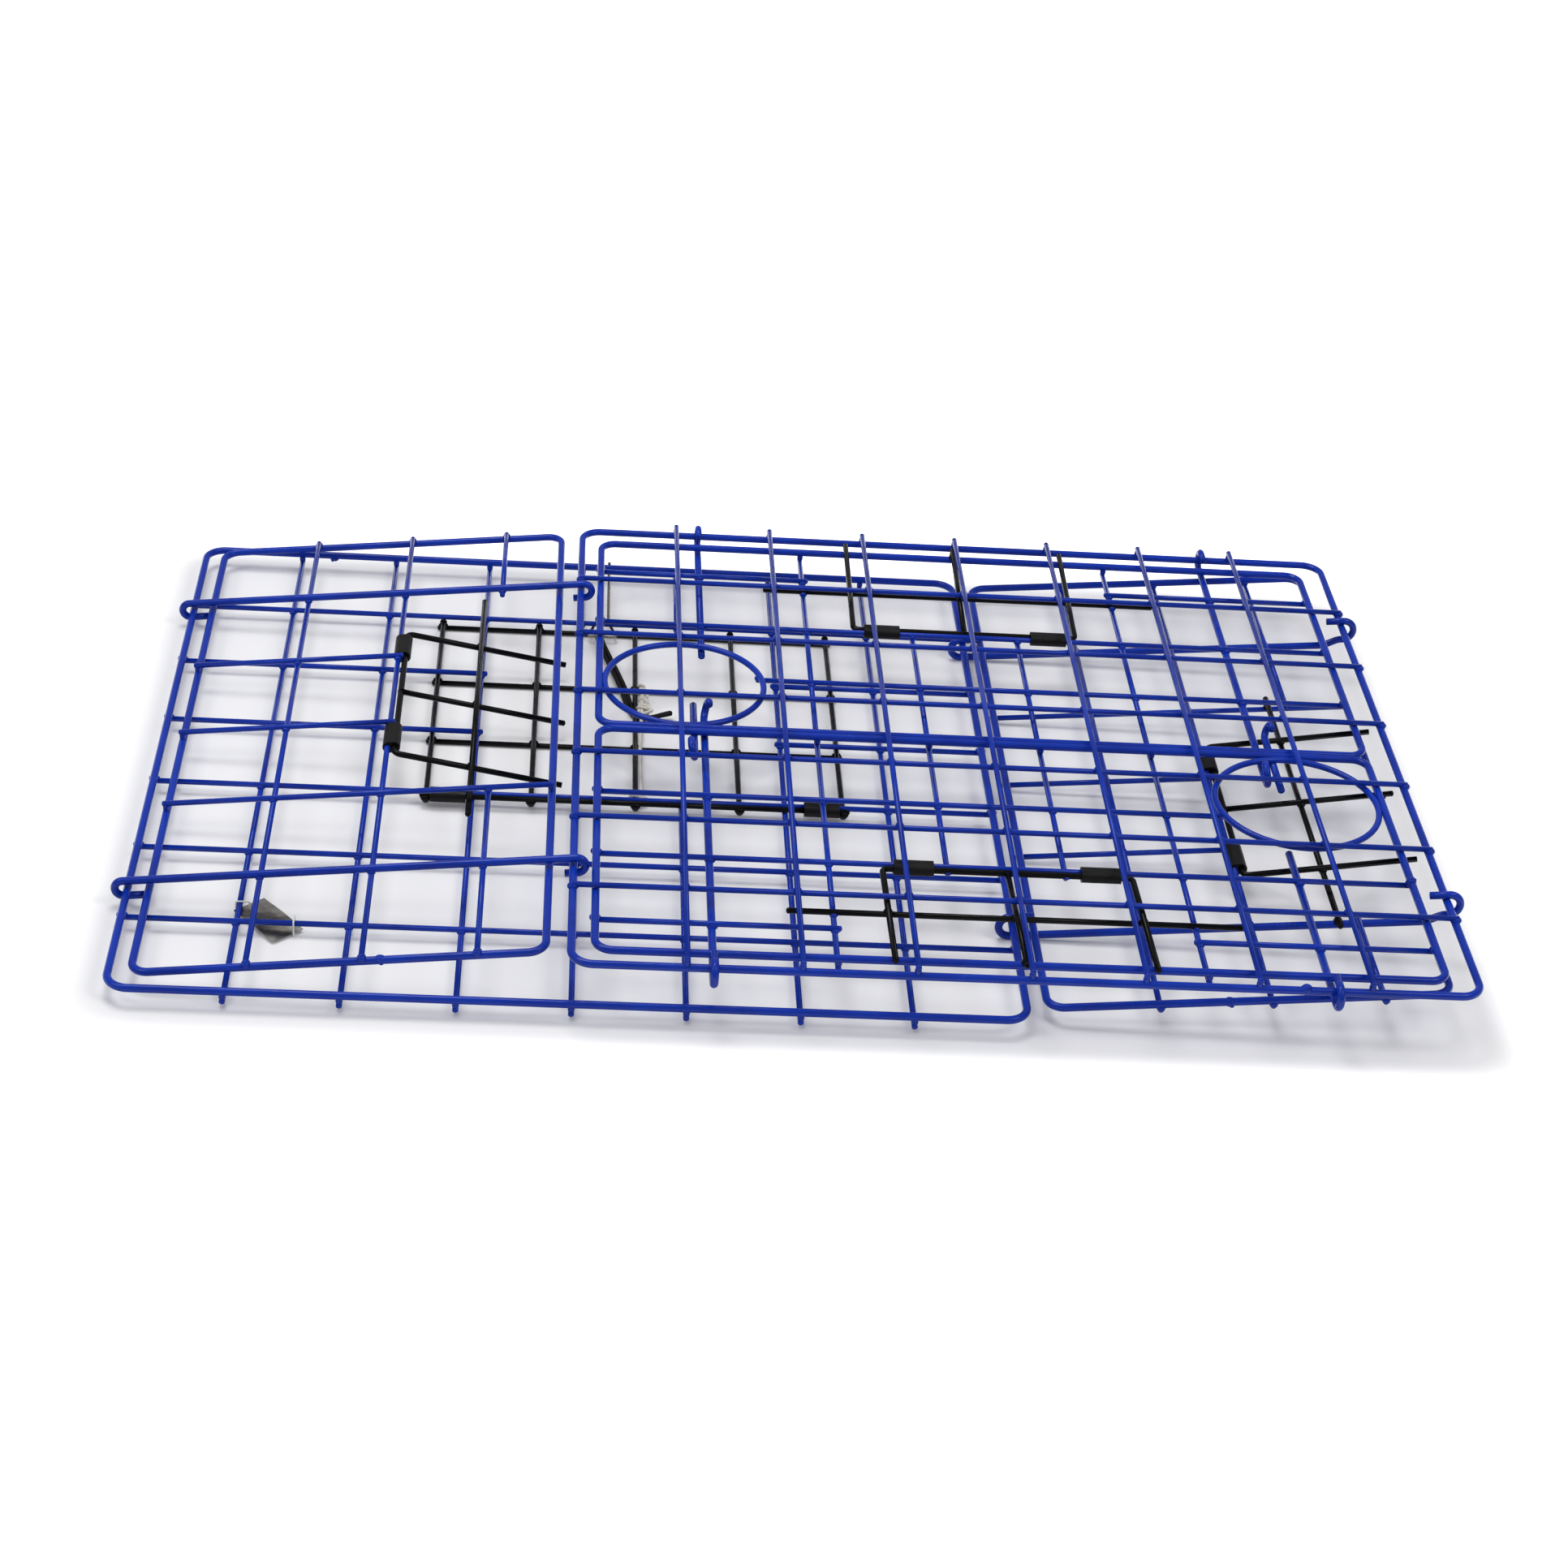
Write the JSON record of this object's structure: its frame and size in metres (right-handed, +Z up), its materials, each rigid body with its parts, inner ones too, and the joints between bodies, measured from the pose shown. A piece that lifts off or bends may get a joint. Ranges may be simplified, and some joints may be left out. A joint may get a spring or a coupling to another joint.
{
  "type": "folding wire crate",
  "caption": "Folding crate of coated welded wire, lying folded flat, with one-way prong gates, escape rings, a bottom door with a cord latch and hinge loops on its sides.",
  "frame": {"origin": "middle of the folded crate's footprint, on the surface it lies on", "axes": "+X across the folded crate towards the right side, +Y to the rear, +Z up"},
  "size_m": [0.9358, 0.6334, 0.0554],
  "materials": {
    "blue_coating": "gloss",
    "black_coating": "satin",
    "black_sleeve": "satin",
    "black_rubber": "matte",
    "hook_steel": "satin",
    "crimp_steel": "satin",
    "white_cotton": "matte",
    "white_nylon": "satin",
    "zinc_plate": "satin"
  },
  "bodies": {
    "base": {"base_frame": "blue_coating", "base_rows": "blue_coating", "base_columns": "blue_coating", "tag_ties": "white_nylon", "door_sleeves": "black_sleeve", "tag_plate": "zinc_plate"},
    "left_side": {"left_frame": "blue_coating", "left_columns": "blue_coating", "left_rows": "blue_coating", "left_rods": "blue_coating", "left_gate_sleeves": "black_sleeve"},
    "left_gate": {"left_gate_hinge_wire": "black_coating", "left_gate_middle_prong": "black_coating", "left_gate_crossbar": "black_coating"},
    "top": {"top_frame": "blue_coating", "top_rows": "blue_coating", "top_columns": "blue_coating", "front_frame": "blue_coating", "front_rows": "blue_coating", "front_columns": "blue_coating", "front_rods": "blue_coating", "front_hook_wire": "blue_coating", "rear_frame": "blue_coating", "rear_rows": "blue_coating", "rear_columns": "blue_coating", "rear_rods": "blue_coating", "rear_hook_wire": "blue_coating", "front_gate_hinge_wire": "black_coating", "front_gate_middle_prong": "black_coating", "front_gate_crossbar": "black_coating", "rear_gate_hinge_wire": "black_coating", "rear_gate_middle_prong": "black_coating", "rear_gate_crossbar": "black_coating", "front_escape_ring": "blue_coating", "rear_escape_ring": "blue_coating", "front_gate_sleeves": "black_sleeve", "rear_gate_sleeves": "black_sleeve"},
    "right_side": {"right_frame": "blue_coating", "right_columns": "blue_coating", "right_rows": "blue_coating", "right_rods": "blue_coating", "right_gate_hinge_wire": "black_coating", "right_gate_middle_prong": "black_coating", "right_gate_crossbar": "black_coating", "right_gate_sleeves": "black_sleeve"},
    "door": {"door_columns": "black_coating", "door_rows": "black_coating", "door_hinge_wire": "black_coating", "rubber_cord": "black_rubber", "cotton_cord": "white_cotton", "cord_crimp": "crimp_steel"},
    "latch": {"latch_hook": "hook_steel"}
  },
  "joints": [
    {"name": "left_fold", "type": "hinge", "parent": "base", "child": "left_side", "pos_m": [-0.45707, -0.3048, 0.01295], "axis": [0, -1, 0], "range_deg": [0, 83.78]},
    {"name": "top_fold", "type": "hinge", "parent": "left_side", "child": "top", "pos_m": [-0.15407, -0.3048, 0.04595], "axis": [0, -1, 0], "range_deg": [-83.78, 0]},
    {"name": "right_fold", "type": "hinge", "parent": "base", "child": "right_side", "pos_m": [0.15253, -0.3048, 0.01295], "axis": [0, -1, 0], "range_deg": [0, 83.78]},
    {"name": "left_gate_swing", "type": "hinge", "parent": "left_side", "child": "left_gate", "pos_m": [-0.28618, 0.0548, 0.03433], "axis": [0, -1, 0], "range_deg": [0, 12]},
    {"name": "door_swing", "type": "hinge", "parent": "base", "child": "door", "pos_m": [-0.45707, -0.04894, 0.00925], "axis": [-1, 0, 0], "range_deg": [0, 100]},
    {"name": "latch_pull", "type": "slide", "parent": "door", "child": "latch", "axis": [0, 1, 0], "range_m": [0, 0.008], "stiffness_N_per_m": 400, "deforming": ["rubber_cord"]}
  ],
  "couplings": [
    {"joint": "top_fold", "follows": "left_fold", "ratio": -1},
    {"joint": "right_fold", "follows": "left_fold", "ratio": 1}
  ]
}
